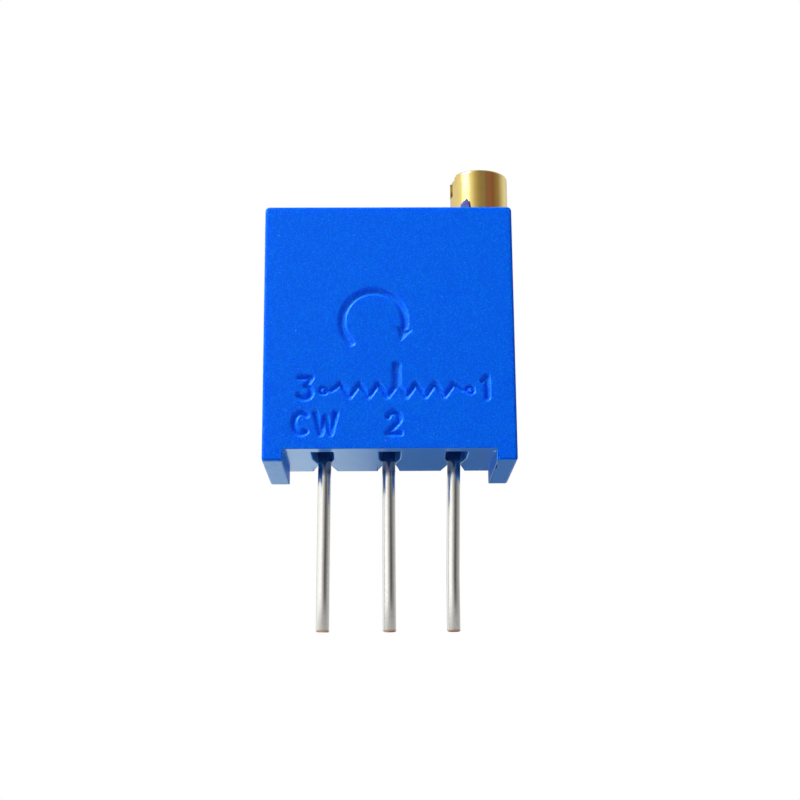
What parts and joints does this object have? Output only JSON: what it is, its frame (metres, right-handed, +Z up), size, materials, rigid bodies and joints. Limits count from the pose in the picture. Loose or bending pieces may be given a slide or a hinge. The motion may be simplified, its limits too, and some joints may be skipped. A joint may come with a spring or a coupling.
{
  "type": "trimmer potentiometer",
  "caption": "Square blue multi-turn trimmer potentiometer with a slotted brass worm screw on top, pins in line below, and a worm-driven wiper inside.",
  "frame": {"origin": "on the middle pin's axis, at the plane that the two feet stand on (the top of the circuit board)", "axes": "+X to the right as seen from the marked face, +Y from the marked face to the back, +Z up through the body, towards the screw"},
  "size_m": [0.0096, 0.0048, 0.0177],
  "materials": {
    "housing_plastic": "matte",
    "seal_epoxy": "gloss",
    "screw_brass": "satin",
    "ring_rubber": "matte",
    "retainer_steel": "satin",
    "wheel_plastic": "matte",
    "wiper_bronze": "satin",
    "wire_alloy": "satin",
    "alumina": "matte",
    "cermet_film": "matte",
    "conductor_film": "matte",
    "pin_tin": "satin",
    "solder_tin": "satin"
  },
  "bodies": {
    "body": {"housing": "housing_plastic", "back_seal": "seal_epoxy", "screw_retaining_pin": "retainer_steel", "ceramic_substrate": "alumina", "resistive_track": "cermet_film", "collector_track": "conductor_film", "conductor_1": "conductor_film", "conductor_3": "conductor_film", "pin_1": "pin_tin", "pin_2": "pin_tin", "pin_3": "pin_tin", "solder_joint_1": "solder_tin", "solder_joint_2": "solder_tin", "solder_joint_3": "solder_tin"},
    "screw": {"adjustment_screw": "screw_brass", "screw_o_ring": "ring_rubber"},
    "rotor": {"worm_wheel": "wheel_plastic", "wiper_carrier": "wiper_bronze", "wiper_wires": "wire_alloy"}
  },
  "joints": [
    {"name": "screw_turn", "type": "hinge", "parent": "body", "child": "screw", "pos_m": [0.0036, -0.00114, 0], "axis": [0, 0, 1], "range_deg": [-4500, 4500]},
    {"name": "wheel_turn", "type": "hinge", "parent": "body", "child": "rotor", "pos_m": [-0.00046, 0, 0.00565], "axis": [0, 1, 0], "range_deg": [-150.5, 150.5]}
  ],
  "couplings": [
    {"joint": "wheel_turn", "follows": "screw_turn", "ratio": 0.033333}
  ]
}
